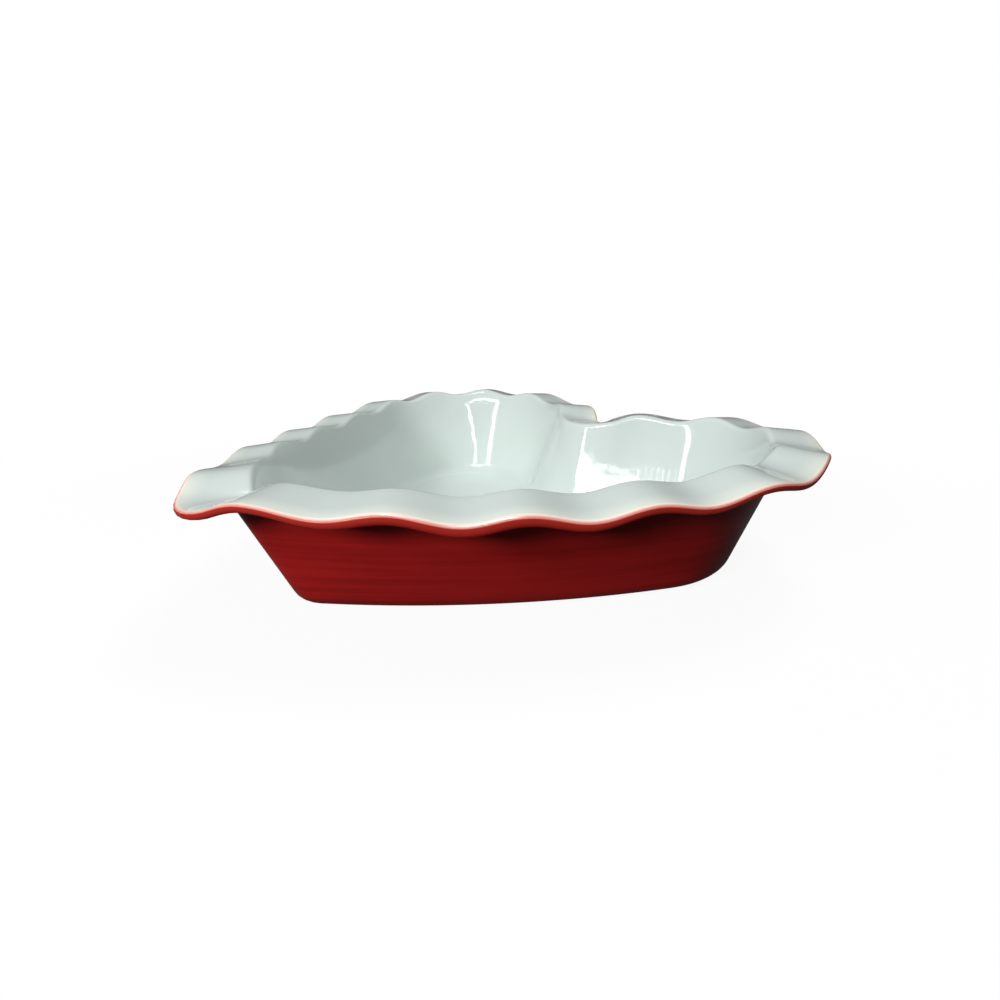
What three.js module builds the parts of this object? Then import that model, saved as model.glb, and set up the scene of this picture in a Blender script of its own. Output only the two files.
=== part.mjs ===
// A heart-shaped ceramic baking dish with a sloping wall and a wide ruffled rim.
// A fired clay body carries three coats of glaze: white inside, red outside and red under the floor.
// Millimetres, +Z up. The heart's tip points to -Y and the notch between its lobes to +Y.
import * as THREE from 'three';

// Heart outline at the top of the outer wall, seen from above.
const LOBE_RADIUS = 60;
const NOTCH_RISE = 57; // centre of the notch's round, above the line through the lobe centres
const LIP_NOTCH_RADIUS = 6.9; // the notch's round, taken on the edge of the lip
const TIP_DROP = 141.3; // centre of the tip's round, below the line through the lobe centres
const TIP_RADIUS = 9.7;
const SIDE_RADIUS = 261; // the long bowed side between tip and lobe

// The foot outline lies inside the wall's top outline, because the wall leans out.
const WALL_LEAN = 19.7; // at the lobes and the notch
const TIP_LEAN = 23; // at the tip
const FOOT_TIP_RADIUS = 14.3;
const FOOT_SIDE_RADIUS = 389;

// Wall, floor and rim, measured over the glaze.
const WALL_HEIGHT = 53.5; // table to the rim's top where it leaves the wall, halfway up a ruffle
const WALL_THICKNESS = 5.5;
const TIP_FILL = 3.2; // extra thickness of the wall at the tip, where the inside is blunter than the outside
const TIP_FILL_FULL = 15; // distance from the tip, along the rim, up to which the wall is that much thicker
const TIP_FILL_END = 75; // distance from the tip where the wall is plain again
const FLOOR_THICKNESS = 5.5;
const FLOOR_FILLET = 8;
const RIM_WIDTH = 14.7;
const RIM_DROOP = 2; // how far the rim falls from the wall to the lip
const TIP_TILT = 2.8; // how far the rim's start sinks at the tip, where the rim slopes inwards
const TIP_TILT_FULL = 5; // distance from the tip up to which it sinks this far
const TIP_TILT_END = 50; // distance from the tip past which it does not sink
const RIM_BEND_RADIUS = 2.8;
const RIM_UNDER_FILLET = 3.5;
const LIP_THICKNESS = 3.1; // at the tip and from the lobe's shoulder to the notch
const LIP_SWELL = 1.6; // how much thicker the lip is halfway along the long side
const LIP_SWELL_END = 0.5; // share of a side, from the tip, over which the lip swells and thins again
const LIP_RADIUS = 2.1;
const LIP_ROUND_LIMIT = 0.48; // share of the lip's thickness that its round may take
const BASE_RADIUS = 9; // round between the wall and the underside

// Ruffles of the rim.
const WAVES_PER_SIDE = 9;
const RUFFLE_AT_WALL = 1.5; // half the height of a wave where the rim leaves the wall
const RUFFLE_AT_LIP = 1.55; // half the height of a wave at the lip
const END_DIP = 1.9; // how much deeper the trough is at the tip and at the notch
const RIM_SWAY = 1.8; // the rim rises by this at the tip and the lobes' shoulders and sinks between them
const SWAYS_PER_SIDE = 1.5;
const WAVE_STRETCH = 0.11; // waves near the tip and the notch are longer than the middle ones
const WAVE_STRETCH_TWICE = 0.04; // the same, repeated twice along a side

// Bare foot ring that the dish stands on.
const FOOT_HEIGHT = 1.2;
const FOOT_WIDTH = 4;

// Coats of glaze.
const GLAZE_THICKNESS = 0.6;
const GLAZE_GAP = 0.2; // between a coat and the clay under it
const GLAZE_SEAM = 0.4; // between the white and the red coat on the lip
const GLAZE_EDGE_CLEARANCE = 0.5; // between the edge of a red coat and the foot ring

// Fineness of the facets.
const POINTS_PER_WAVE = 6;
const ARC_STEPS = 2;
const SEARCH_STEPS = 48; // halvings that find a station's place along a side

// Sizes that follow from the ones above.
const NOTCH_RADIUS = LIP_NOTCH_RADIUS + RIM_WIDTH;
const LOBE_SPREAD = Math.sqrt((LOBE_RADIUS + NOTCH_RADIUS) ** 2 - NOTCH_RISE ** 2);
const FOOT_TIP_DROP = TIP_DROP + TIP_RADIUS - TIP_LEAN - FOOT_TIP_RADIUS;
const FLOOR_TOP = FOOT_HEIGHT + FLOOR_THICKNESS;
const CLAY_DEPTH = GLAZE_THICKNESS + GLAZE_GAP;
const HALF_STATIONS = WAVES_PER_SIDE * POINTS_PER_WAVE;

const EARTHEN_CREAM = 0xd9c9a8;
const MILKY_WHITE = 0xdfe6e0;
const CHERRY_RED = 0x8f1516;
const CLAY_ROUGHNESS = 0.8;
const WHITE_ROUGHNESS = 0.12;
const RED_ROUGHNESS = 0.15;

// One arc of an outline. A hollow arc curves round a centre that lies outside the heart.
function arc(x, y, radius, from, to, hollow = false) {
  return { centre: new THREE.Vector2(x, y), radius, from, to, hollow };
}

// Outward direction at a fraction of an arc's sweep.
function arcNormal(piece, fraction) {
  const angle = piece.from + (piece.to - piece.from) * fraction;
  const side = piece.hollow ? -1 : 1;
  return new THREE.Vector2(Math.cos(angle) * side, Math.sin(angle) * side);
}

function arcPoint(piece, fraction) {
  const reach = piece.hollow ? -piece.radius : piece.radius;
  return arcNormal(piece, fraction).multiplyScalar(reach).add(piece.centre);
}

function arcLength(piece) {
  return piece.radius * Math.abs(piece.to - piece.from);
}

// Right half of a heart from tip to notch, as four arcs that run into each other smoothly.
function heartHalf(lobeRadius, notchRadius, tipDrop, tipRadius, sideRadius) {
  const tip = new THREE.Vector2(0, -tipDrop);
  const lobe = new THREE.Vector2(LOBE_SPREAD, 0);
  const reachTip = sideRadius - tipRadius;
  const reachLobe = sideRadius - lobeRadius;
  const along = lobe.clone().sub(tip);
  const span = along.length();
  along.normalize();
  const foot = (reachTip ** 2 - reachLobe ** 2 + span ** 2) / (2 * span);
  const rise = Math.sqrt(reachTip ** 2 - foot ** 2);
  const side = tip.clone().addScaledVector(along, foot);
  side.add(new THREE.Vector2(-along.y, along.x).multiplyScalar(rise));
  const bearing = (point) => Math.atan2(point.y - side.y, point.x - side.x);
  const sideStart = bearing(tip);
  const sideEnd = bearing(lobe);
  const lobeEnd = Math.atan2(NOTCH_RISE, -LOBE_SPREAD);
  return [
    arc(tip.x, tip.y, tipRadius, -Math.PI / 2, sideStart),
    arc(side.x, side.y, sideRadius, sideStart, sideEnd),
    arc(lobe.x, lobe.y, lobeRadius, sideEnd, lobeEnd),
    arc(0, NOTCH_RISE, notchRadius, lobeEnd - Math.PI, -Math.PI / 2, true),
  ];
}

// Share of a side's length that lies behind a given share of its waves.
function lengthShare(waveShare) {
  const waves = (share) =>
    share
    - (WAVE_STRETCH * Math.sin(2 * Math.PI * share)) / (2 * Math.PI)
    - (WAVE_STRETCH_TWICE * Math.sin(4 * Math.PI * share)) / (4 * Math.PI);
  let low = 0;
  let high = 1;
  for (let i = 0; i < SEARCH_STEPS; i += 1) {
    const middle = (low + high) / 2;
    if (waves(middle) < waveShare) low = middle;
    else high = middle;
  }
  return (low + high) / 2;
}

// Stations round the dish: where the wall stands there, which way is out, and how the rim waves.
function makeStations() {
  const top = heartHalf(LOBE_RADIUS, NOTCH_RADIUS, TIP_DROP, TIP_RADIUS, SIDE_RADIUS);
  const foot = heartHalf(
    LOBE_RADIUS - WALL_LEAN,
    NOTCH_RADIUS + WALL_LEAN,
    FOOT_TIP_DROP,
    FOOT_TIP_RADIUS,
    FOOT_SIDE_RADIUS,
  );
  const middle = RIM_WIDTH / 2;
  const lengths = top.map((piece) => {
    const shift = piece.hollow ? -middle : middle;
    return arcLength({ ...piece, radius: piece.radius + shift });
  });
  const total = lengths.reduce((sum, length) => sum + length, 0);

  const right = [];
  for (let k = 0; k <= HALF_STATIONS; k += 1) {
    const share = lengthShare(k / HALF_STATIONS);
    const fromTip = share * total;
    let rest = fromTip;
    let index = 0;
    while (index < lengths.length - 1 && rest > lengths[index]) {
      rest -= lengths[index];
      index += 1;
    }
    const fraction = Math.min(rest / lengths[index], 1);
    const wallTop = arcPoint(top[index], fraction);
    const out = arcNormal(top[index], fraction);
    const run = arcPoint(foot[index], fraction).sub(wallTop);
    const lean = -run.dot(out);
    const skew = run.addScaledVector(out, lean);
    const wave = -Math.cos((2 * Math.PI * k) / POINTS_PER_WAVE);
    const atEnd = Math.min(k, HALF_STATIONS - k) < POINTS_PER_WAVE / 2;
    const dip = atEnd ? (END_DIP * (1 - wave)) / 2 : 0;
    const rise = RIM_SWAY * Math.cos(2 * Math.PI * SWAYS_PER_SIDE * share) - dip;
    const plain = THREE.MathUtils.smoothstep(fromTip, TIP_FILL_FULL, TIP_FILL_END);
    const thickness = WALL_THICKNESS + TIP_FILL * (1 - plain);
    const swell = Math.sin((Math.PI * Math.min(share, LIP_SWELL_END)) / LIP_SWELL_END) ** 2;
    const lip = LIP_THICKNESS + LIP_SWELL * swell;
    const level = THREE.MathUtils.smoothstep(fromTip, TIP_TILT_FULL, TIP_TILT_END);
    const tilt = TIP_TILT * (1 - level);
    right.push({ wallTop, out, lean, skew, wave, rise, thickness, lip, tilt });
  }
  const mirrored = (vector) => new THREE.Vector2(-vector.x, vector.y);
  const left = right.slice(1, -1).reverse().map((station) => ({
    ...station,
    wallTop: mirrored(station.wallTop),
    out: mirrored(station.out),
    skew: mirrored(station.skew),
  }));
  return [...right, ...left];
}

// Round corner of a section, walked with the clay on the right hand. Each point keeps its outward normal.
function roundCorner(corner, before, after, radius, fractions) {
  const turn = Math.atan2(before.cross(after), before.dot(after));
  const bend = Math.sign(turn);
  const setBack = radius * Math.tan(Math.abs(turn) / 2);
  const left = new THREE.Vector2(-before.y, before.x);
  const centre = corner.clone().addScaledVector(before, -setBack).addScaledVector(left, radius * bend);
  const origin = new THREE.Vector2();
  return fractions.map((fraction) => {
    const normal = left.clone().rotateAround(origin, turn * fraction);
    return { at: centre.clone().addScaledVector(normal, -radius * bend), normal };
  });
}

// Where two lines meet, each given by a point and a direction.
function meet(point, direction, other, otherDirection) {
  const gap = other.clone().sub(point);
  const reach = gap.cross(otherDirection) / direction.cross(otherDirection);
  return point.clone().addScaledVector(direction, reach);
}

// Glazed section of the dish at a station: distance out from the wall's top, and height.
function glazedSection(station) {
  const wallUp = new THREE.Vector2(station.lean, WALL_HEIGHT).normalize();
  const wallOut = new THREE.Vector2(wallUp.y, -wallUp.x);
  const outerFoot = new THREE.Vector2(-station.lean, 0);
  const innerFoot = outerFoot.clone().addScaledVector(wallOut, -station.thickness);
  const rimLevel = WALL_HEIGHT + station.rise;
  const rimStart = new THREE.Vector2(0, rimLevel + RUFFLE_AT_WALL * station.wave - station.tilt);
  const lipTop = new THREE.Vector2(RIM_WIDTH, rimLevel - RIM_DROOP + RUFFLE_AT_LIP * station.wave);
  const rimOut = lipTop.clone().sub(rimStart).normalize();
  const rimDown = new THREE.Vector2(rimOut.y, -rimOut.x);
  const lipBottom = lipTop.clone().addScaledVector(rimDown, station.lip);
  const floorOut = new THREE.Vector2(1, 0);
  const rimIn = rimOut.clone().negate();
  const wallDown = wallUp.clone().negate();
  const baseIn = floorOut.clone().negate();

  const floorCorner = meet(innerFoot, wallUp, new THREE.Vector2(0, FLOOR_TOP), floorOut);
  const bendCorner = meet(innerFoot, wallUp, rimStart, rimOut);
  const underCorner = meet(outerFoot, wallUp, lipBottom, rimOut);
  const baseCorner = meet(outerFoot, wallUp, new THREE.Vector2(0, FOOT_HEIGHT), floorOut);

  const steps = Array.from({ length: ARC_STEPS + 1 }, (_, i) => i / ARC_STEPS);
  const lipRadius = Math.min(LIP_RADIUS, LIP_ROUND_LIMIT * station.lip);
  const seamShare = GLAZE_SEAM / (lipRadius * Math.PI);
  const lipEdge = roundCorner(lipTop, rimOut, rimDown, lipRadius, [0, 0.5 - seamShare, 0.5 + seamShare, 1]);
  return {
    white: [
      ...roundCorner(floorCorner, floorOut, wallUp, FLOOR_FILLET, steps),
      ...roundCorner(bendCorner, wallUp, rimOut, RIM_BEND_RADIUS, steps),
      ...lipEdge.slice(0, 2),
    ],
    red: [
      ...lipEdge.slice(2),
      ...roundCorner(lipBottom, rimDown, rimIn, lipRadius, steps),
      ...roundCorner(underCorner, rimIn, wallDown, RIM_UNDER_FILLET, steps),
      ...roundCorner(baseCorner, wallDown, baseIn, BASE_RADIUS, steps),
    ],
  };
}

// A point of the glazed section moved into the wall.
function sunk(entry, depth) {
  return entry.at.clone().addScaledVector(entry.normal, -depth);
}

// Foot ring of bare clay, from the edge of the outer coat to the recess under the floor.
function footSection(section) {
  const outer = section.red.at(-1).at.x - GLAZE_EDGE_CLEARANCE;
  const inner = outer - FOOT_WIDTH;
  const recess = FOOT_HEIGHT + CLAY_DEPTH;
  return [
    new THREE.Vector2(outer, recess),
    new THREE.Vector2(outer, 0),
    new THREE.Vector2(inner, 0),
    new THREE.Vector2(inner, recess),
  ];
}

// Place of a section's point in the dish.
function place(station, point) {
  const low = 1 - point.y / WALL_HEIGHT;
  const plan = station.wallTop.clone();
  plan.addScaledVector(station.out, point.x).addScaledVector(station.skew, low);
  return new THREE.Vector3(plan.x, plan.y, point.y);
}

// Rings of points round the dish, one for each point of the sections.
function makeRings(stations, sections) {
  return sections[0].map((_, i) => stations.map((station, j) => place(station, sections[j][i])));
}

// Two triangles of a four-sided facet, split along its shorter diagonal, so that facing coats split alike.
function shortSplit([a, b, c, d], points) {
  const flat = points[a].distanceTo(points[c]) <= points[b].distanceTo(points[d]);
  return flat ? [a, b, c, a, c, d] : [a, b, d, b, c, d];
}

// Closed body from rings in order. Capped ends are filled to their middle.
// With no caps the last ring joins the first.
function ringBody(name, rings, capped, colour, roughness) {
  const around = rings[0].length;
  const points = rings.flat();
  const faces = [];
  const at = (ring, j) => (ring % rings.length) * around + (j % around);
  const bands = capped ? rings.length - 1 : rings.length;
  for (let ring = 0; ring < bands; ring += 1) {
    for (let j = 0; j < around; j += 1) {
      const quad = [at(ring, j), at(ring + 1, j), at(ring + 1, j + 1), at(ring, j + 1)];
      faces.push(...shortSplit(quad, points));
    }
  }
  if (capped) {
    const last = rings.length - 1;
    const middleOf = (ring) => ring[0].clone().lerp(ring[around / 2], 0.5);
    const first = points.push(middleOf(rings[0])) - 1;
    const final = points.push(middleOf(rings[last])) - 1;
    for (let j = 0; j < around; j += 1) {
      faces.push(first, at(0, j), at(0, j + 1));
      faces.push(final, at(last, j + 1), at(last, j));
    }
  }
  const geometry = new THREE.BufferGeometry().setFromPoints(points).setIndex(faces);
  geometry.computeVertexNormals();
  const material = new THREE.MeshStandardMaterial({ color: colour, roughness, metalness: 0 });
  const mesh = new THREE.Mesh(geometry, material);
  mesh.name = name;
  return mesh;
}

// A coat's section: its glossy face, then its back towards the clay.
function coatSection(entries) {
  const face = entries.map((entry) => entry.at);
  const back = entries.map((entry) => sunk(entry, GLAZE_THICKNESS)).reverse();
  return [...face, ...back];
}

function clayBody(stations, sections) {
  const clay = sections.map((section) => {
    const under = [...section.white, ...section.red].map((entry) => sunk(entry, CLAY_DEPTH));
    return [...under, ...footSection(section)];
  });
  return ringBody('stoneware_body', makeRings(stations, clay), true, EARTHEN_CREAM, CLAY_ROUGHNESS);
}

function whiteCoat(stations, sections) {
  const coat = sections.map((section) => coatSection(section.white));
  return ringBody('white_inner_glaze', makeRings(stations, coat), true, MILKY_WHITE, WHITE_ROUGHNESS);
}

function redCoat(stations, sections) {
  const coat = sections.map((section) => coatSection(section.red));
  return ringBody('red_outer_glaze', makeRings(stations, coat), false, CHERRY_RED, RED_ROUGHNESS);
}

function baseCoat(stations, sections) {
  const panel = sections.map((section) => {
    const edge = footSection(section).at(-1).x - GLAZE_EDGE_CLEARANCE;
    return [new THREE.Vector2(edge, FOOT_HEIGHT + GLAZE_THICKNESS), new THREE.Vector2(edge, FOOT_HEIGHT)];
  });
  return ringBody('red_base_glaze', makeRings(stations, panel), true, CHERRY_RED, RED_ROUGHNESS);
}

function makeDish() {
  const stations = makeStations();
  const sections = stations.map(glazedSection);
  const pieces = new THREE.Group();
  pieces.add(
    clayBody(stations, sections),
    whiteCoat(stations, sections),
    redCoat(stations, sections),
    baseCoat(stations, sections),
  );
  const extent = new THREE.Box3().setFromObject(pieces);
  pieces.position.y = -(extent.min.y + extent.max.y) / 2;
  return new THREE.Group().add(pieces);
}

const dish = makeDish();

export default dish;
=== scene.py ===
# Looks of a heart-shaped ceramic baking dish: a clay body, a white inner glaze and a red outer glaze.
import math

import bmesh
import bpy
from mathutils import Matrix, Vector


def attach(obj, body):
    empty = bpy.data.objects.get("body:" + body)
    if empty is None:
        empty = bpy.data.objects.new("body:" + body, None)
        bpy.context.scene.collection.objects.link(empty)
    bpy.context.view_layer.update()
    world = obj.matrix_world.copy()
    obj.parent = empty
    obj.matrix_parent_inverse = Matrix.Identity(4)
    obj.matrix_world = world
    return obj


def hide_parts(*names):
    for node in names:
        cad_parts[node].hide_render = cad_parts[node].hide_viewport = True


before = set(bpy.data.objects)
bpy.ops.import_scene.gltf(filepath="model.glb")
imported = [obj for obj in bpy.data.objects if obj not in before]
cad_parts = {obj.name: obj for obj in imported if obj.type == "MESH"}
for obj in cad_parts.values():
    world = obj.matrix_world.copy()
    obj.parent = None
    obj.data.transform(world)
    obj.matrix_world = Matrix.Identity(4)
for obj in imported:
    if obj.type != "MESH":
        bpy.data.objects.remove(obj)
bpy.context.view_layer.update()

# Heart outline at the top of the outer wall, in metres, with the lobe centres on y = 0.
LOBE_RADIUS = 0.0600
NOTCH_RISE = 0.0570
LIP_NOTCH_RADIUS = 0.0069
TIP_DROP = 0.1413
TIP_RADIUS = 0.0097
SIDE_RADIUS = 0.261

# The wall leans out from the foot to its top.
WALL_LEAN = 0.0197
TIP_LEAN = 0.0230
FOOT_TIP_RADIUS = 0.0143
FOOT_SIDE_RADIUS = 0.389

# Wall, floor and rim, measured over the glaze.
WALL_HEIGHT = 0.0535
WALL_THICKNESS = 0.0055
FLOOR_THICKNESS = 0.0055
FLOOR_FILLET = 0.008
BASE_RADIUS = 0.009
RIM_WIDTH = 0.0147
RIM_DROOP = 0.002
RIM_BEND_RADIUS = 0.0028
RIM_UNDER_FILLET = 0.0035

# Lip of the rim. It swells along the sides, and its thickness limits how round it is.
LIP_THICKNESS = 0.0031
LIP_SWELL = 0.0016
LIP_SWELL_END = 0.5
LIP_RADIUS = 0.0021
LIP_ROUND_LIMIT = 0.48

# Near the tip the wall is thicker and the rim tilts inwards, so the lip's lower edge reaches further out.
TIP_FILL = 0.0032
TIP_FILL_FULL = 0.015
TIP_FILL_END = 0.075
TIP_TILT = 0.0028
TIP_TILT_FULL = 0.005
TIP_TILT_END = 0.050
TIP_OVERHANG = 0.00028

# Ruffles of the rim.
WAVES_PER_SIDE = 9
RUFFLE_AT_WALL = 0.0015
RUFFLE_AT_LIP = 0.00155
END_DIP = 0.0019
RIM_SWAY = 0.0018
SWAYS_PER_SIDE = 1.5
WAVE_STRETCH = 0.11
WAVE_STRETCH_TWICE = 0.04

# Foot ring and glaze. The two glazes meet at a share of the way round the lip's upper edge.
FOOT_HEIGHT = 0.0012
FOOT_WIDTH = 0.004
FOOT_EDGE_ROUND = 0.0004
GLAZE_THICKNESS = 0.0006
CLAY_DEPTH = 0.0008
GLAZE_SEAM = 0.00008
GLAZE_SEAM_SHARE = 0.5
GLAZE_EDGE_CLEARANCE = 0.0005
SKIN_INSET = 0.00005

# Fineness of the meshes.
POINTS_PER_WAVE = 20
ARC_STEPS = 8
WALL_STEPS = 6
RIM_STEPS = 6
PANEL_STEPS = 5
FOOT_STEPS = 2
SEARCH_STEPS = 40
SMOOTH_ANGLE = math.radians(50)

# Sizes that follow from the ones above.
NOTCH_RADIUS = LIP_NOTCH_RADIUS + RIM_WIDTH
LOBE_SPREAD = math.sqrt((LOBE_RADIUS + NOTCH_RADIUS) ** 2 - NOTCH_RISE ** 2)
FOOT_LOBE_RADIUS = LOBE_RADIUS - WALL_LEAN
FOOT_TIP_DROP = TIP_DROP + TIP_RADIUS - TIP_LEAN - FOOT_TIP_RADIUS
FLOOR_TOP = FOOT_HEIGHT + FLOOR_THICKNESS
HALF_STATIONS = WAVES_PER_SIDE * POINTS_PER_WAVE
BACK_REACH = LOBE_RADIUS + RIM_WIDTH
FRONT_REACH = TIP_DROP + TIP_RADIUS + RIM_WIDTH + TIP_OVERHANG
FRAME_SHIFT = (FRONT_REACH - BACK_REACH) / 2

# White glaze. Towards the lip it thins, breaks to cream and blushes where it meets the red. Over the rim's
# top it is also painted lighter, a painted highlight for the light that the rim catches.
WHITE_DEEP = (0.615, 0.685, 0.66, 1)
WHITE_PALE = (0.675, 0.75, 0.72, 1)
WHITE_THIN_AND_LIT = (0.86, 0.89, 0.79, 1)
WHITE_THIN_AND_LIT_SHARE = 0.6
WHITE_THIN_AND_LIT_START = 0.0012
WHITE_THIN_AND_LIT_END = 0.0090
CREAM = (0.92, 0.84, 0.72, 1)
CREAM_START = 0.0008
CREAM_END = 0.0020
BLUSH = (0.88, 0.36, 0.31, 1)
WHITE_BLUSH_END = 0.0010
WHITE_CLOUD_SCALE = 28.0
WHITE_SMOOTHEST = 0.05
WHITE_ROUGHEST = 0.09
WHITE_RIPPLE_SCALE = 60.0
WHITE_RIPPLE_STRENGTH = 0.32
RIPPLE_DEPTH = 0.0006

# Red glaze. It has faint level bands, and it thins and blushes at the lip. The lighter orange-red over the
# lip's round is partly thin glaze and partly a painted highlight for the light from above.
RED_DEEP = (0.24, 0.007, 0.007, 1)
RED_BRIGHT = (0.34, 0.012, 0.011, 1)
RED_TONE_START = 0.35
RED_TONE_END = 0.65
RED_THIN_AND_LIT = (0.36, 0.024, 0.016, 1)
RED_THIN_AND_LIT_START = 0.0008
RED_THIN_AND_LIT_END = 0.0040
RED_BLUSH_END = 0.0006
RED_BAND_STRETCH = (6, 6, 260)
RED_BAND_SCALE = 1.0
RED_BAND_SHARE = 0.7
RED_CLOUD_SCALE = 22.0
RED_CLOUD_SHARE = 0.3
RED_SMOOTHEST = 0.12
RED_ROUGHEST = 0.2
RED_SPECULAR = 0.12
RED_RIPPLE_STRETCH = (1, 1, 4)
RED_RIPPLE_SCALE = 30.0
RED_RIPPLE_STRENGTH = 0.2

# Bare clay, grainy and specked.
CLAY_DARK = (0.60, 0.50, 0.36, 1)
CLAY_PALE = (0.76, 0.67, 0.52, 1)
CLAY_SPECK = (0.34, 0.24, 0.15, 1)
CLAY_SPECK_SCALE = 420.0
CLAY_SPECK_START = 0.66
CLAY_SPECK_END = 0.72
CLAY_SMOOTHEST = 0.75
CLAY_ROUGHEST = 0.9
CLAY_GRAIN_SCALE = 900.0
CLAY_GRAIN_STRENGTH = 0.5
CLAY_GRAIN_DEPTH = 0.0002

# Noise mostly stays between these two values.
NOISE_LOW = 0.3
NOISE_HIGH = 0.7

# Sockets of a Mix node that mixes colours.
MIX_FIRST = 6
MIX_SECOND = 7
MIX_RESULT = 2

# Camera: it looks along the right-hand side of the heart from close by. Lens and sensor are in millimetres.
VIEW_AZIMUTH = math.radians(49.46)
VIEW_ELEVATION = math.radians(18.41)
VIEW_ROLL = math.radians(-1.74)
VIEW_DISTANCE = 0.3676
VIEW_TARGET = Vector((-0.0561, 0.0679, -0.0054))
VIEW_LENS = 21.34
SENSOR_WIDTH = 36.0
NEAREST_SEEN = 0.01

# Floor and room. Both show white to the camera, and the floor keeps a faint shadow round the dish.
WHITE = (1, 1, 1, 1)
FLOOR_SIZE = 8.0
FLOOR_GREY = (0.08, 0.08, 0.08, 1)
FLOOR_WHITE_NEAR = 0.93
SHADOW_FADE_START = 0.16
SHADOW_FADE_END = 0.45
MIRRORED_WHITE = 0.03
ROOM_COLOUR = (0.92, 1.0, 0.97, 1)
ROOM_STRENGTH = 0.04

# Places that the lamps look at.
DISH_MIDDLE = Vector((0, 0.04, 0.03))
LEFT_LOBE = Vector((-0.095, 0.076, 0.035))
RIGHT_LOBE = Vector((0.035, 0.085, 0.035))

# Softboxes that light the dish: name, azimuth and elevation in degrees, width, height and watts.
SOFTBOX_DISTANCE = 1.2
SOFTBOXES = (
    ("key softbox", 13, 24, 0.5, 0.25, 13.3),
    ("back softbox", 170, 70, 0.5, 0.5, 7.6),
    ("rear softbox", 205, 2, 0.6, 0.06, 6.0),
)

# A frame of thin lamps in front of the dish, which shows as streaks in the white glaze.
FRAME_LEFT_LOW = Vector((-0.028, -0.099, 0.080))
FRAME_LEFT_HIGH = Vector((-0.059, -0.161, 0.200))
FRAME_RIGHT_LOW = Vector((0.132, -0.230, 0.206))
FRAME_RIGHT_HIGH = Vector((0.178, -0.138, 0.278))
HIGH_BAR_LEFT = Vector((0.0, -0.125, 0.285))
HIGH_BAR_RIGHT = Vector((0.18, -0.11, 0.32))
TAIL_PANEL_LEFT = Vector((0.168, -0.166, 0.140))
TAIL_PANEL_RIGHT = Vector((0.242, -0.103, 0.140))
LEFT_STRIP_WIDTH = 0.020
LEFT_STRIP_SHINE = 12.0
LEFT_STRIP_SPREAD = math.radians(180)
RIGHT_STRIP_WIDTH = 0.016
RIGHT_STRIP_SHINE = 24.0
RIGHT_STRIP_SPREAD = math.radians(26)
TOP_BAR_WIDTH = 0.008
TOP_BAR_SHINE = 30.0
TOP_BAR_SPREAD = math.radians(110)
HIGH_BAR_WIDTH = 0.05
HIGH_BAR_SHINE = 40.0
HIGH_BAR_SPREAD = math.radians(80)
TAIL_PANEL_WIDTH = 0.025
TAIL_PANEL_SHINE = 12.0
TAIL_PANEL_SPREAD = math.radians(60)

# Narrow beams side by side, which show as the wide foot of the streak in the right lobe.
SPILL_BEAMS = 7
SPILL_LEFT = Vector((0.0105, 0.0665, 0.025))
SPILL_RIGHT = Vector((0.0215, 0.0720, 0.026))
SPILL_FIRST_TURN = math.radians(-12)
SPILL_TURN_STEP = math.radians(7)
SPILL_RISE = math.radians(21.2)
SPILL_DISTANCE = 0.25
SPILL_LENGTH = 0.033
SPILL_WIDTH = 0.036
SPILL_SHINE = 30.0
SPILL_SPREAD = math.radians(11)


# Outline of the heart

def arc(x, y, radius, start, end, side=1):
    """One arc of an outline. A side of -1 is a hollow arc round a centre outside the heart."""
    return {"centre": Vector((x, y)), "radius": radius, "start": start, "end": end, "side": side}


def arc_normal(piece, fraction):
    """The way out of the heart at a fraction of an arc."""
    angle = piece["start"] + (piece["end"] - piece["start"]) * fraction
    return Vector((math.cos(angle), math.sin(angle))) * piece["side"]


def arc_point(piece, fraction):
    return piece["centre"] + arc_normal(piece, fraction) * piece["radius"] * piece["side"]


def heart_half(lobe_radius, tip_drop, tip_radius, side_radius):
    """Right half of a heart from tip to notch, as four arcs that run into each other."""
    notch_radius = math.hypot(LOBE_SPREAD, NOTCH_RISE) - lobe_radius
    tip = Vector((0, -tip_drop))
    lobe = Vector((LOBE_SPREAD, 0))
    reach_tip = side_radius - tip_radius
    reach_lobe = side_radius - lobe_radius
    along = lobe - tip
    span = along.length
    along.normalize()
    part_way = (reach_tip ** 2 - reach_lobe ** 2 + span ** 2) / (2 * span)
    aside = math.sqrt(reach_tip ** 2 - part_way ** 2)
    side = tip + along * part_way + Vector((-along.y, along.x)) * aside
    side_start = math.atan2(tip.y - side.y, tip.x - side.x)
    side_end = math.atan2(lobe.y - side.y, lobe.x - side.x)
    lobe_end = math.atan2(NOTCH_RISE, -LOBE_SPREAD)
    return [
        arc(tip.x, tip.y, tip_radius, -math.pi / 2, side_start),
        arc(side.x, side.y, side_radius, side_start, side_end),
        arc(lobe.x, lobe.y, lobe_radius, side_end, lobe_end),
        arc(0, NOTCH_RISE, notch_radius, lobe_end - math.pi, -math.pi / 2, -1),
    ]


def rim_lengths(outline):
    """Length of each arc, measured along the middle of the rim."""
    lengths = []
    for piece in outline:
        middle = piece["radius"] + piece["side"] * RIM_WIDTH / 2
        lengths.append(middle * abs(piece["end"] - piece["start"]))
    return lengths


def find_arc(lengths, from_tip):
    """The number of the arc that a distance from the tip falls on, and the fraction of it."""
    rest = from_tip
    index = 0
    while index < len(lengths) - 1 and rest > lengths[index]:
        rest -= lengths[index]
        index += 1
    return index, min(rest / lengths[index], 1.0)


def length_share(wave_share):
    """Share of a side's length that lies behind a share of its waves."""
    low, high = 0.0, 1.0
    for _ in range(SEARCH_STEPS):
        middle = (low + high) / 2
        turn = 2 * math.pi * middle
        waves = middle - WAVE_STRETCH * math.sin(turn) / (2 * math.pi)
        waves -= WAVE_STRETCH_TWICE * math.sin(2 * turn) / (4 * math.pi)
        if waves < wave_share:
            low = middle
        else:
            high = middle
    return (low + high) / 2


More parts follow.
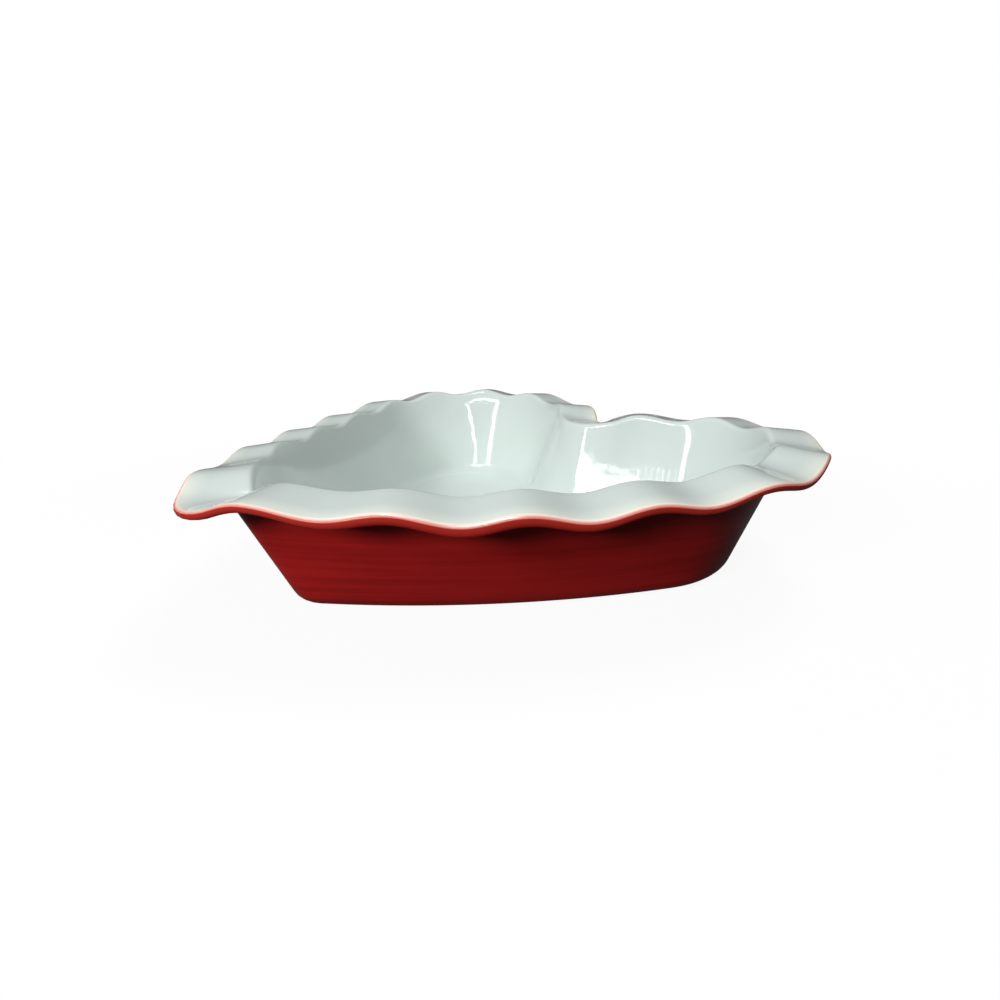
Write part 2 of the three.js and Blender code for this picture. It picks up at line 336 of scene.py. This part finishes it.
def fading(from_tip, full, end):
    """A share that is 1 at the tip and falls smoothly to 0."""
    way = min(max((from_tip - full) / (end - full), 0.0), 1.0)
    return 1 - way * way * (3 - 2 * way)


def make_station(number, top, foot, lengths):
    """A place round the dish: the wall's top there, the way out, the lean and the rim's wave."""
    share = length_share(number / HALF_STATIONS)
    from_tip = share * sum(lengths)
    index, fraction = find_arc(lengths, from_tip)
    wall_top = arc_point(top[index], fraction)
    out = arc_normal(top[index], fraction)
    run = arc_point(foot[index], fraction) - wall_top
    lean = -run.dot(out)
    wave = -math.cos(2 * math.pi * number / POINTS_PER_WAVE)
    at_end = min(number, HALF_STATIONS - number) < POINTS_PER_WAVE / 2
    dip = END_DIP * (1 - wave) / 2 if at_end else 0.0
    swell = math.sin(math.pi * min(share, LIP_SWELL_END) / LIP_SWELL_END) ** 2
    return {
        "wall_top": wall_top,
        "out": out,
        "lean": lean,
        "skew": run + out * lean,
        "wave": wave,
        "rise": RIM_SWAY * math.cos(2 * math.pi * SWAYS_PER_SIDE * share) - dip,
        "thickness": WALL_THICKNESS + TIP_FILL * fading(from_tip, TIP_FILL_FULL, TIP_FILL_END),
        "tilt": TIP_TILT * fading(from_tip, TIP_TILT_FULL, TIP_TILT_END),
        "lip": LIP_THICKNESS + LIP_SWELL * swell,
    }


def mirror_station(station):
    mirrored = dict(station)
    for key in ("wall_top", "out", "skew"):
        mirrored[key] = Vector((-station[key].x, station[key].y))
    return mirrored


def make_stations():
    """Places all round the dish, from the tip along the right half to the notch and back along the left."""
    top = heart_half(LOBE_RADIUS, TIP_DROP, TIP_RADIUS, SIDE_RADIUS)
    foot = heart_half(FOOT_LOBE_RADIUS, FOOT_TIP_DROP, FOOT_TIP_RADIUS, FOOT_SIDE_RADIUS)
    lengths = rim_lengths(top)
    right = [make_station(number, top, foot, lengths) for number in range(HALF_STATIONS + 1)]
    left = [mirror_station(station) for station in reversed(right[1:-1])]
    return right + left


# Section of the dish

def round_corner(corner, before, after, radius, steps, first=0.0, last=1.0):
    """Points of a rounded corner, each with its outward normal, walked with the clay on the right."""
    turn = math.atan2(before.cross(after), before.dot(after))
    bend = math.copysign(1.0, turn)
    left = Vector((-before.y, before.x))
    centre = corner - before * radius * math.tan(abs(turn) / 2) + left * radius * bend
    points = []
    for i in range(steps + 1):
        angle = turn * (first + (last - first) * i / steps)
        normal = Vector((
            left.x * math.cos(angle) - left.y * math.sin(angle),
            left.x * math.sin(angle) + left.y * math.cos(angle),
        ))
        points.append((centre - normal * radius * bend, normal))
    return points


def stretch(start, end, steps):
    """Points between two points of a section, without its ends."""
    return [(start[0].lerp(end[0], i / steps), start[1].lerp(end[1], i / steps)) for i in range(1, steps)]


def meet(point, direction, other, other_direction):
    """Where two lines of a section cross."""
    reach = (other - point).cross(other_direction) / direction.cross(other_direction)
    return point + direction * reach


def glazed_section(station):
    """White and red stretches of the section, as (distance out and height, outward normal)."""
    wall_up = Vector((station["lean"], WALL_HEIGHT)).normalized()
    wall_out = Vector((wall_up.y, -wall_up.x))
    outer_foot = Vector((-station["lean"], 0))
    inner_foot = outer_foot - wall_out * station["thickness"]
    level = WALL_HEIGHT + station["rise"]
    rim_start = Vector((0, level + RUFFLE_AT_WALL * station["wave"] - station["tilt"]))
    lip_top = Vector((RIM_WIDTH, level - RIM_DROOP + RUFFLE_AT_LIP * station["wave"]))
    rim_out = (lip_top - rim_start).normalized()
    rim_down = Vector((rim_out.y, -rim_out.x))
    lip_bottom = lip_top + rim_down * station["lip"]
    floor_out = Vector((1, 0))

    floor_corner = meet(inner_foot, wall_up, Vector((0, FLOOR_TOP)), floor_out)
    bend_corner = meet(inner_foot, wall_up, rim_start, rim_out)
    under_corner = meet(outer_foot, wall_up, lip_bottom, rim_out)
    base_corner = meet(outer_foot, wall_up, Vector((0, FOOT_HEIGHT)), floor_out)

    lip_radius = min(LIP_RADIUS, LIP_ROUND_LIMIT * station["lip"])
    half_seam = GLAZE_SEAM / (lip_radius * math.pi)
    white_end = GLAZE_SEAM_SHARE - half_seam
    red_start = GLAZE_SEAM_SHARE + half_seam
    half_steps = ARC_STEPS // 2
    floor_round = round_corner(floor_corner, floor_out, wall_up, FLOOR_FILLET, ARC_STEPS)
    bend_round = round_corner(bend_corner, wall_up, rim_out, RIM_BEND_RADIUS, ARC_STEPS)
    lip_white = round_corner(lip_top, rim_out, rim_down, lip_radius, half_steps, 0.0, white_end)
    lip_red = round_corner(lip_top, rim_out, rim_down, lip_radius, half_steps, red_start, 1.0)
    lip_under = round_corner(lip_bottom, rim_down, -rim_out, lip_radius, ARC_STEPS)
    under_round = round_corner(under_corner, -rim_out, -wall_up, RIM_UNDER_FILLET, ARC_STEPS)
    base_round = round_corner(base_corner, -wall_up, -floor_out, BASE_RADIUS, ARC_STEPS)
    white = (
        floor_round + stretch(floor_round[-1], bend_round[0], WALL_STEPS)
        + bend_round + stretch(bend_round[-1], lip_white[0], RIM_STEPS) + lip_white
    )
    red = (
        lip_red + lip_under + stretch(lip_under[-1], under_round[0], RIM_STEPS)
        + under_round + stretch(under_round[-1], base_round[0], WALL_STEPS) + base_round
    )
    return white, red


def sunk(section, depth):
    """A section moved inwards from its faces."""
    return [(point - normal * depth, normal) for point, normal in section]


def foot_section(red):
    """Bare foot ring from the edge of the outer glaze to the recess under the floor."""
    outer = red[-1][0].x - GLAZE_EDGE_CLEARANCE
    inner = outer - FOOT_WIDTH
    recess = FOOT_HEIGHT + CLAY_DEPTH
    down, up = Vector((0, -1)), Vector((0, 1))
    outward, inward = Vector((1, 0)), Vector((-1, 0))
    high_outer = (Vector((outer, recess)), outward)
    low_outer = round_corner(Vector((outer, 0)), down, inward, FOOT_EDGE_ROUND, FOOT_STEPS)
    low_inner = round_corner(Vector((inner, 0)), inward, up, FOOT_EDGE_ROUND, FOOT_STEPS)
    high_inner = (Vector((inner, recess)), inward)
    return [high_outer] + low_outer + low_inner + [high_inner]


def place(station, point):
    """A point of a section, put where it belongs in the dish."""
    plan = station["wall_top"] + station["out"] * point.x + station["skew"] * (1 - point.y / WALL_HEIGHT)
    return Vector((plan.x, plan.y + FRAME_SHIFT, point.y))


def rings_of(stations, sections):
    """Rings round the dish, one for each point of its sections."""
    rings = []
    for i in range(len(sections[0])):
        rings.append([place(station, section[i][0]) for station, section in zip(stations, sections)])
    return rings


# Modelling by hand, ring by ring

def lay(piece, ring):
    """Moves the selected points to a ring, each to its own station."""
    mesh = bmesh.from_edit_mesh(piece.data)
    station = mesh.verts.layers.int["station"]
    for vert in mesh.verts:
        if vert.select:
            vert.co = ring[vert[station]]
    bmesh.update_edit_mesh(piece.data)


def start_ring(name, ring):
    """A circle laid out as the first ring of a piece. It stays in edit mode, selected."""
    bpy.ops.object.select_all(action="DESELECT")
    bpy.ops.mesh.primitive_circle_add(vertices=len(ring), radius=LOBE_RADIUS)
    piece = bpy.context.object
    piece.name = name
    piece.data.name = name
    bpy.ops.object.mode_set(mode="EDIT")
    bpy.ops.mesh.select_all(action="SELECT")
    mesh = bmesh.from_edit_mesh(piece.data)
    station = mesh.verts.layers.int.new("station")
    for index, vert in enumerate(mesh.verts):
        vert[station] = index
    lay(piece, ring)
    return piece


def draw_out(piece, rings):
    """Extrudes the selected ring through more rings."""
    for ring in rings:
        bpy.ops.mesh.extrude_edges_move()
        lay(piece, ring)


def close_to_middle(piece, ring):
    """Fills a ring with narrowing rings that end in one point."""
    middle = ring[0].lerp(ring[len(ring) // 2], 0.5)
    shares = [i / PANEL_STEPS for i in range(1, PANEL_STEPS)]
    draw_out(piece, [[point.lerp(middle, share) for point in ring] for share in shares])
    bpy.ops.mesh.extrude_edges_move()
    bpy.ops.mesh.merge(type="CENTER")


def select_border(piece):
    """Selects the open edges of a piece, and nothing else."""
    mesh = bmesh.from_edit_mesh(piece.data)
    bpy.ops.mesh.select_all(action="DESELECT")
    for edge in mesh.edges:
        edge.select_set(edge.is_boundary)
    bmesh.update_edit_mesh(piece.data)


def face_towards(piece, wanted):
    """Turns the faces round if they look away from what wanted(centre) gives."""
    bpy.ops.mesh.select_all(action="SELECT")
    bpy.ops.mesh.normals_make_consistent(inside=False)
    mesh = bmesh.from_edit_mesh(piece.data)
    lean = sum(face.normal.dot(wanted(face.calc_center_median())) * face.calc_area() for face in mesh.faces)
    if lean < 0:
        bpy.ops.mesh.flip_normals()
    bpy.ops.object.mode_set(mode="OBJECT")


def upwards(centre):
    return Vector((0, 0, 1))


def downwards(centre):
    return Vector((0, 0, -1))


def outwards(centre):
    return Vector((centre.x, centre.y, 0)).normalized()


def mark_from_lip(piece, sections):
    """Keeps each point's distance from the lip's seam, along the section, for the glaze to read."""
    runs = []
    for section in sections:
        run = [0.0]
        for before, after in zip(section, section[1:]):
            run.append(run[-1] + (after[0] - before[0]).length)
        runs.append(run)
    distances = [distance for ring in zip(*runs) for distance in ring]
    from_lip = piece.data.attributes.new("from_lip", "FLOAT", "POINT")
    for index in range(len(piece.data.vertices)):
        from_lip.data[index].value = distances[min(index, len(distances) - 1)]


def thicken(piece, thickness):
    """Gives a sheet its thickness, inwards from its faces."""
    solid = piece.modifiers.new("coat", "SOLIDIFY")
    solid.thickness = thickness
    solid.offset = -1
    solid.use_even_offset = True
    bpy.ops.object.modifier_apply(modifier=solid.name)


def settle(piece, node, finish):
    """Shades a finished piece and gives it its place in the object."""
    station = piece.data.attributes.get("station")
    if station:
        piece.data.attributes.remove(station)
    bpy.ops.object.shade_smooth_by_angle(angle=SMOOTH_ANGLE)
    piece.data.materials.clear()
    piece.data.materials.append(finish)
    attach(piece, "root")
    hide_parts(node)


# Pieces of the dish

def make_white_coat(stations, sections, finish):
    """White glaze from the lip over the top of the rim and down the wall to the floor."""
    faces = [list(reversed(sunk(white, SKIN_INSET))) for white, red in sections]
    rings = rings_of(stations, faces)
    piece = start_ring("white_glaze_coat", rings[0])
    draw_out(piece, rings[1:])
    close_to_middle(piece, rings[-1])
    face_towards(piece, upwards)
    mark_from_lip(piece, faces)
    thicken(piece, GLAZE_THICKNESS)
    settle(piece, "white_inner_glaze", finish)


def make_red_coat(stations, sections, finish):
    """Red glaze from the lip under the rim and down the outside of the wall."""
    faces = [sunk(red, SKIN_INSET) for white, red in sections]
    rings = rings_of(stations, faces)
    piece = start_ring("red_glaze_coat", rings[0])
    draw_out(piece, rings[1:])
    face_towards(piece, outwards)
    mark_from_lip(piece, faces)
    thicken(piece, GLAZE_THICKNESS)
    settle(piece, "red_outer_glaze", finish)


def make_base_coat(stations, sections, finish):
    """Red glaze under the floor, inside the foot ring."""
    ring = []
    for station, (white, red) in zip(stations, sections):
        edge = foot_section(red)[-1][0].x - GLAZE_EDGE_CLEARANCE
        ring.append(place(station, Vector((edge, FOOT_HEIGHT))))
    piece = start_ring("base_glaze_coat", ring)
    close_to_middle(piece, ring)
    face_towards(piece, downwards)
    thicken(piece, GLAZE_THICKNESS)
    settle(piece, "red_base_glaze", finish)


def make_clay(stations, sections, finish):
    """Clay under the glaze and the bare foot ring, closed on the floor and below it."""
    faces = [sunk(white + red, CLAY_DEPTH) + foot_section(red) for white, red in sections]
    rings = rings_of(stations, faces)
    piece = start_ring("clay_body", rings[0])
    close_to_middle(piece, rings[0])
    select_border(piece)
    draw_out(piece, rings[1:])
    close_to_middle(piece, rings[-1])
    bpy.ops.mesh.select_all(action="SELECT")
    bpy.ops.mesh.normals_make_consistent(inside=False)
    bpy.ops.object.mode_set(mode="OBJECT")
    settle(piece, "stoneware_body", finish)


# Finishes

class Reading:
    """A shader socket that takes part in sums."""

    def __init__(self, finish, socket):
        self.finish = finish
        self.socket = socket

    def calculate(self, operation, first, second):
        return self.finish.node("ShaderNodeMath", {"operation": operation}, {0: first, 1: second})

    def __add__(self, other):
        return self.calculate("ADD", self, other)

    def __radd__(self, other):
        return self.calculate("ADD", other, self)

    def __mul__(self, other):
        return self.calculate("MULTIPLY", self, other)

    def __rmul__(self, other):
        return self.calculate("MULTIPLY", other, self)


class Finish:
    """The nodes of a material or of the room."""

    def __init__(self, owner):
        owner.use_nodes = True
        self.owner = owner
        self.tree = owner.node_tree
        self.tree.nodes.clear()

    def node(self, kind, settings=None, sockets=None, output=0):
        """Adds a node, sets its settings, and then gives its sockets their values or links."""
        made = self.tree.nodes.new(kind)
        for key, value in (settings or {}).items():
            setattr(made, key, value)
        for key, value in (sockets or {}).items():
            if isinstance(value, Reading):
                self.tree.links.new(value.socket, made.inputs[key])
            else:
                made.inputs[key].default_value = value
        return Reading(self, made.outputs[output]) if made.outputs else None

    def places(self, stretch_by=(1, 1, 1)):
        """Places on the dish, stretched along the axes."""
        where = self.node("ShaderNodeTexCoord", output="Object")
        return self.node("ShaderNodeMapping", sockets={"Vector": where, "Scale": stretch_by})

    def noise(self, where, scale, detail, roughness=0.5):
        sockets = {"Vector": where, "Scale": scale, "Detail": detail, "Roughness": roughness}
        return self.node("ShaderNodeTexNoise", sockets=sockets)

    def step(self, value, start, end, low=0.0, high=1.0):
        """Runs smoothly from low to high as a value goes from start to end."""
        return self.node(
            "ShaderNodeMapRange",
            {"interpolation_type": "SMOOTHSTEP"},
            {"Value": value, "From Min": start, "From Max": end, "To Min": low, "To Max": high},
        )

    def near(self, distance, start, end, share=1.0):
        """A share that runs out as a distance goes from start to end."""
        return self.step(distance, start, end, share, 0.0)

    def uneven(self, noise, smoothest, roughest):
        """A roughness that follows a noise."""
        return self.step(noise, NOISE_LOW, NOISE_HIGH, smoothest, roughest)

    def mix(self, share, first, second):
        sockets = {"Factor": share, MIX_FIRST: first, MIX_SECOND: second}
        return self.node("ShaderNodeMix", {"data_type": "RGBA"}, sockets, output=MIX_RESULT)

    def attribute(self, name):
        return self.node("ShaderNodeAttribute", {"attribute_name": name}, output="Fac")

    def bump(self, height, strength, distance):
        sockets = {"Height": height, "Strength": strength, "Distance": distance}
        return self.node("ShaderNodeBump", sockets=sockets)

    def seen_white(self, plain=1.0):
        """How white a backdrop is: plain white to the camera and hardly white in a mirror image."""
        direct = self.node("ShaderNodeLightPath", output="Is Camera Ray")
        mirrored = self.node("ShaderNodeLightPath", output="Is Glossy Ray")
        through = self.node("ShaderNodeLightPath", output="Is Transmission Ray")
        return (direct + through) * plain + mirrored * MIRRORED_WHITE

    def surface(self, sockets):
        """Ends a material in one shader with the given sockets."""
        shader = self.node("ShaderNodeBsdfPrincipled", sockets=sockets)
        self.node("ShaderNodeOutputMaterial", sockets={"Surface": shader})
        return self.owner


def white_glaze():
    finish = Finish(bpy.data.materials.new("milky white glaze"))
    clouds = finish.noise(finish.places(), WHITE_CLOUD_SCALE, detail=3.0)
    tint = finish.mix(clouds, WHITE_DEEP, WHITE_PALE)
    from_lip = finish.attribute("from_lip")
    # Lighter white towards the lip: partly thin glaze, partly painted light that brightens the rim's top.
    thin_and_lit = finish.near(from_lip, WHITE_THIN_AND_LIT_START, WHITE_THIN_AND_LIT_END, WHITE_THIN_AND_LIT_SHARE)
    breaking_and_lit = finish.mix(thin_and_lit, tint, WHITE_THIN_AND_LIT)
    cream = finish.near(from_lip, CREAM_START, CREAM_END)
    edge = finish.mix(cream, breaking_and_lit, CREAM)
    blush = finish.near(from_lip, 0.0, WHITE_BLUSH_END)
    ripple = finish.noise(finish.places(), WHITE_RIPPLE_SCALE, detail=2.0)
    return finish.surface({
        "Base Color": finish.mix(blush, edge, BLUSH),
        "Roughness": finish.uneven(clouds, WHITE_SMOOTHEST, WHITE_ROUGHEST),
        "Normal": finish.bump(ripple, WHITE_RIPPLE_STRENGTH, RIPPLE_DEPTH),
    })


def red_glaze():
    finish = Finish(bpy.data.materials.new("cherry red glaze"))
    bands = finish.noise(finish.places(RED_BAND_STRETCH), RED_BAND_SCALE, detail=4.0, roughness=0.6)
    clouds = finish.noise(finish.places(), RED_CLOUD_SCALE, detail=2.0)
    tone = finish.step(bands * RED_BAND_SHARE + clouds * RED_CLOUD_SHARE, RED_TONE_START, RED_TONE_END)
    body = finish.mix(tone, RED_DEEP, RED_BRIGHT)
    from_lip = finish.attribute("from_lip")
    # Lighter orange-red over the lip's round: partly thin glaze, partly a painted highlight for light from
    # above.
    thin_and_lit = finish.near(from_lip, RED_THIN_AND_LIT_START, RED_THIN_AND_LIT_END)
    lip = finish.mix(thin_and_lit, body, RED_THIN_AND_LIT)
    blush = finish.near(from_lip, 0.0, RED_BLUSH_END)
    ripple = finish.noise(finish.places(RED_RIPPLE_STRETCH), RED_RIPPLE_SCALE, detail=2.0)
    return finish.surface({
        "Base Color": finish.mix(blush, lip, BLUSH),
        "Roughness": finish.uneven(clouds, RED_SMOOTHEST, RED_ROUGHEST),
        "Specular IOR Level": RED_SPECULAR,
        "Normal": finish.bump(ripple, RED_RIPPLE_STRENGTH, RIPPLE_DEPTH),
    })


def fired_clay():
    finish = Finish(bpy.data.materials.new("bare fired clay"))
    grain = finish.noise(finish.places(), CLAY_GRAIN_SCALE, detail=4.0, roughness=0.7)
    spots = finish.noise(finish.places(), CLAY_SPECK_SCALE, detail=1.0)
    specks = finish.step(spots, CLAY_SPECK_START, CLAY_SPECK_END)
    clay = finish.mix(grain, CLAY_DARK, CLAY_PALE)
    return finish.surface({
        "Base Color": finish.mix(specks, clay, CLAY_SPECK),
        "Roughness": finish.uneven(grain, CLAY_SMOOTHEST, CLAY_ROUGHEST),
        "Normal": finish.bump(grain, CLAY_GRAIN_STRENGTH, CLAY_GRAIN_DEPTH),
    })


# Floor, light and camera

def make_floor():
    """A pale floor that shows white to the camera and keeps a soft shadow round the dish."""
    bpy.ops.object.select_all(action="DESELECT")
    bpy.ops.mesh.primitive_plane_add(size=FLOOR_SIZE)
    floor = bpy.context.object
    floor.name = "floor"
    finish = Finish(bpy.data.materials.new("pale floor"))
    where = finish.node("ShaderNodeTexCoord", output="Object")
    away = finish.node("ShaderNodeVectorMath", {"operation": "LENGTH"}, {0: where}, output="Value")
    plain = finish.step(away, SHADOW_FADE_START, SHADOW_FADE_END, FLOOR_WHITE_NEAR, 1.0)
    direct = finish.node("ShaderNodeLightPath", output="Is Camera Ray")
    tone = finish.mix(direct, FLOOR_GREY, WHITE)
    matt = finish.node("ShaderNodeBsdfDiffuse", sockets={"Color": tone})
    white = finish.node("ShaderNodeEmission", sockets={"Color": WHITE, "Strength": 1.0})
    shade = finish.node("ShaderNodeMixShader", sockets={0: finish.seen_white(plain), 1: matt, 2: white})
    finish.node("ShaderNodeOutputMaterial", sockets={"Surface": shade})
    floor.data.materials.append(finish.owner)


def make_world():
    """A dim, faintly green room that shows white to the camera."""
    world = bpy.data.worlds.new("soft room")
    bpy.context.scene.world = world
    finish = Finish(world)
    room = finish.node("ShaderNodeBackground", sockets={"Color": ROOM_COLOUR, "Strength": ROOM_STRENGTH})
    white = finish.node("ShaderNodeBackground", sockets={"Color": WHITE, "Strength": 1.0})
    shade = finish.node("ShaderNodeMixShader", sockets={0: finish.seen_white(), 1: room, 2: white})
    finish.node("ShaderNodeOutputWorld", sockets={"Surface": shade})


def way_towards(azimuth, elevation):
    """The way towards a lamp or the camera. An azimuth of 0 is in front of the heart's tip."""
    level = math.cos(elevation)
    return Vector((math.sin(azimuth) * level, -math.cos(azimuth) * level, math.sin(elevation)))


def add_lamp(name, length, width, power):
    """A rectangular lamp that is still to be put in its place."""
    lamp = bpy.data.lights.new(name, "AREA")
    lamp.shape = "RECTANGLE"
    lamp.size = length
    lamp.size_y = width
    lamp.energy = power
    holder = bpy.data.objects.new(name, lamp)
    bpy.context.scene.collection.objects.link(holder)
    return holder


def make_softbox(name, azimuth, elevation, width, height, power):
    """A large lamp that lights the dish and leaves no mirror image."""
    away = way_towards(math.radians(azimuth), math.radians(elevation))
    holder = add_lamp(name, width, height, power)
    holder.location = DISH_MIDDLE + away * SOFTBOX_DISTANCE
    holder.rotation_euler = away.to_track_quat("Z", "Y").to_euler()
    holder.visible_glossy = False


def make_strip(name, start, end, width, shine, aim, spread):
    """A thin lamp between two points that faces its aim and only shows as a mirror image."""
    along = (end - start).normalized()
    length = (end - start).length
    middle = (start + end) / 2
    away = middle - aim
    away = (away - along * away.dot(along)).normalized()
    narrow = 1 - spread / 2 / math.tan(spread / 2)
    holder = add_lamp(name, length, width, shine * math.pi * length * width * narrow)
    holder.data.spread = spread
    axes = Matrix((along, away.cross(along), away)).transposed().to_4x4()
    holder.matrix_world = Matrix.Translation(middle) @ axes
    holder.visible_diffuse = False
    holder.visible_camera = False


def make_spill():
    """A fan of narrow beams that meet on the wall of the right lobe."""
    for number in range(SPILL_BEAMS):
        turn = SPILL_FIRST_TURN + SPILL_TURN_STEP * number
        spot = SPILL_LEFT.lerp(SPILL_RIGHT, number / (SPILL_BEAMS - 1))
        ahead = Vector((math.sin(turn), -math.cos(turn), math.tan(SPILL_RISE)))
        middle = spot + ahead * SPILL_DISTANCE
        reach = Vector((math.cos(turn), math.sin(turn), 0)) * SPILL_LENGTH / 2
        name = f"spill beam {number + 1}"
        make_strip(name, middle - reach, middle + reach, SPILL_WIDTH, SPILL_SHINE, spot, SPILL_SPREAD)


def make_lamps():
    """Softboxes light the dish, and a frame of thin lamps shows as streaks in the white glaze."""
    for softbox in SOFTBOXES:
        make_softbox(*softbox)
    make_strip(
        "left strip", FRAME_LEFT_LOW, FRAME_LEFT_HIGH,
        LEFT_STRIP_WIDTH, LEFT_STRIP_SHINE, DISH_MIDDLE, LEFT_STRIP_SPREAD,
    )
    make_strip(
        "right strip", FRAME_RIGHT_LOW, FRAME_RIGHT_HIGH,
        RIGHT_STRIP_WIDTH, RIGHT_STRIP_SHINE, LEFT_LOBE, RIGHT_STRIP_SPREAD,
    )
    make_strip(
        "top bar", FRAME_LEFT_HIGH, FRAME_RIGHT_HIGH,
        TOP_BAR_WIDTH, TOP_BAR_SHINE, DISH_MIDDLE, TOP_BAR_SPREAD,
    )
    make_strip(
        "high bar", HIGH_BAR_LEFT, HIGH_BAR_RIGHT,
        HIGH_BAR_WIDTH, HIGH_BAR_SHINE, RIGHT_LOBE, HIGH_BAR_SPREAD,
    )
    make_spill()
    make_strip(
        "tail panel", TAIL_PANEL_LEFT, TAIL_PANEL_RIGHT,
        TAIL_PANEL_WIDTH, TAIL_PANEL_SHINE, RIGHT_LOBE, TAIL_PANEL_SPREAD,
    )


def make_camera():
    """A camera that looks at its target from its own distance, rolled a little."""
    lens = bpy.data.cameras.new("camera")
    lens.lens = VIEW_LENS
    lens.sensor_width = SENSOR_WIDTH
    lens.clip_start = NEAREST_SEEN
    camera = bpy.data.objects.new("camera", lens)
    back = way_towards(VIEW_AZIMUTH, VIEW_ELEVATION)
    right = Vector((math.cos(VIEW_AZIMUTH), math.sin(VIEW_AZIMUTH), 0))
    up = back.cross(right)
    turned = right * math.cos(VIEW_ROLL) + up * math.sin(VIEW_ROLL)
    upright = up * math.cos(VIEW_ROLL) - right * math.sin(VIEW_ROLL)
    axes = Matrix((turned, upright, back)).transposed().to_4x4()
    camera.matrix_world = Matrix.Translation(VIEW_TARGET + back * VIEW_DISTANCE) @ axes
    bpy.context.scene.collection.objects.link(camera)
    bpy.context.scene.camera = camera


def make_dish():
    """The clay body and its three coats of glaze. The two red coats share a finish."""
    stations = make_stations()
    sections = [glazed_section(station) for station in stations]
    make_clay(stations, sections, fired_clay())
    make_white_coat(stations, sections, white_glaze())
    red = red_glaze()
    make_red_coat(stations, sections, red)
    make_base_coat(stations, sections, red)


make_camera()
make_world()
make_lamps()
make_floor()
make_dish()
bpy.context.scene.view_settings.view_transform = "Standard"
